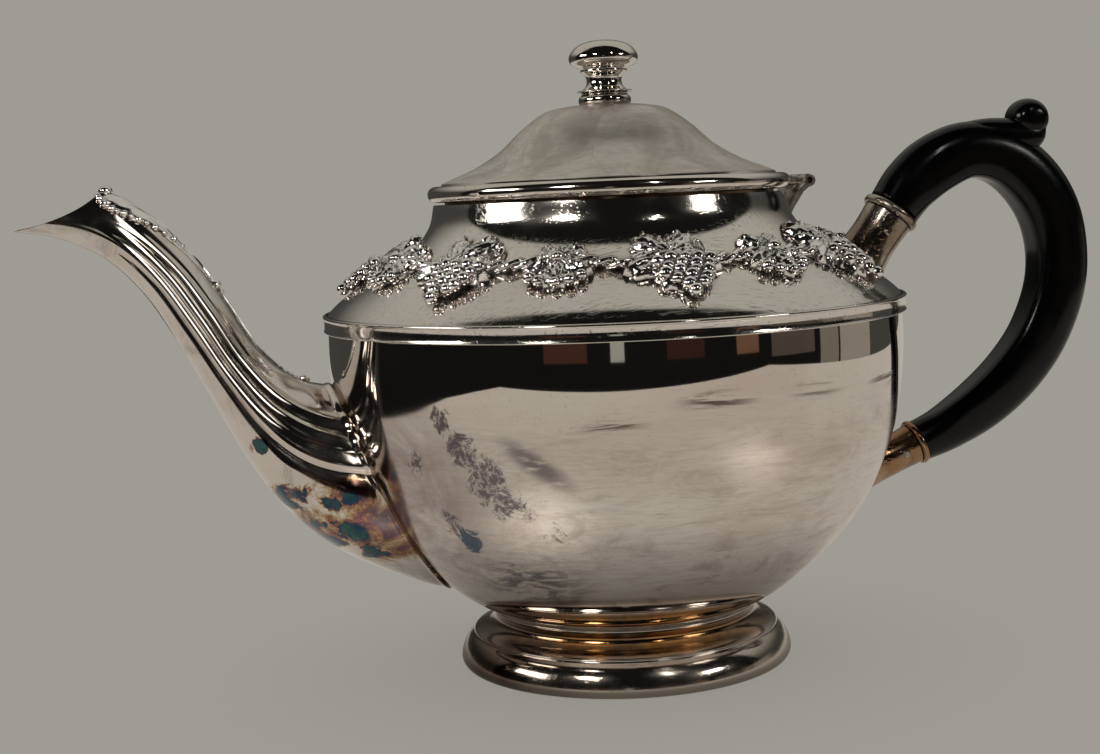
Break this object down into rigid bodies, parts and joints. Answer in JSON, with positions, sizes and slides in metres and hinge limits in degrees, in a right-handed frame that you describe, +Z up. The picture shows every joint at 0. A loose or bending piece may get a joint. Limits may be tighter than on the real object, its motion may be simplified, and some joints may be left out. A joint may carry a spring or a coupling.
{
  "type": "teapot",
  "caption": "Silver-plated teapot with a round bowl, vine border, long S spout, black scroll handle, pedestal foot and a domed lid that hinges back at the handle side.",
  "frame": {"origin": "on the surface it stands on, under the middle of the teapot's overall length and width", "axes": "+Z up, +X from the spout towards the handle, so the lid's hinge pin lies along Y"},
  "size_m": [0.2832, 0.15, 0.1601],
  "materials": {
    "silver_plate": "polished",
    "cast_silver": "polished",
    "worn_plate": "satin",
    "black_handle": "gloss",
    "pin_steel": "satin"
  },
  "bodies": {
    "pot": {"bowl": "silver_plate", "shoulder": "silver_plate", "rim_moulding": "cast_silver", "foot": "silver_plate", "spout_near_half": "silver_plate", "spout_far_half": "silver_plate", "spout_leaf": "cast_silver", "vine_section_1": "cast_silver", "vine_section_2": "cast_silver", "vine_section_3": "cast_silver", "vine_section_4": "cast_silver", "vine_section_5": "cast_silver", "vine_section_6": "cast_silver", "vine_section_7": "cast_silver", "upper_socket": "worn_plate", "upper_socket_plate": "worn_plate", "upper_socket_ring": "worn_plate", "lower_socket": "worn_plate", "lower_socket_ring": "worn_plate", "lower_socket_drop": "worn_plate", "handle": "black_handle", "handle_pin_upper": "pin_steel", "handle_pin_lower": "pin_steel", "hinge_leaf_body": "cast_silver", "hinge_pin": "pin_steel"},
    "lid": {"lid_shell": "silver_plate", "lid_bezel": "silver_plate", "lid_knob": "cast_silver", "knob_washer": "silver_plate", "knob_nut": "cast_silver", "hinge_leaf_lid": "cast_silver"}
  },
  "joints": [
    {"name": "lid_hinge", "type": "hinge", "parent": "pot", "child": "lid", "pos_m": [0.058, 0, 0.1223], "axis": [0, 1, 0], "range_deg": [0, 100]}
  ]
}
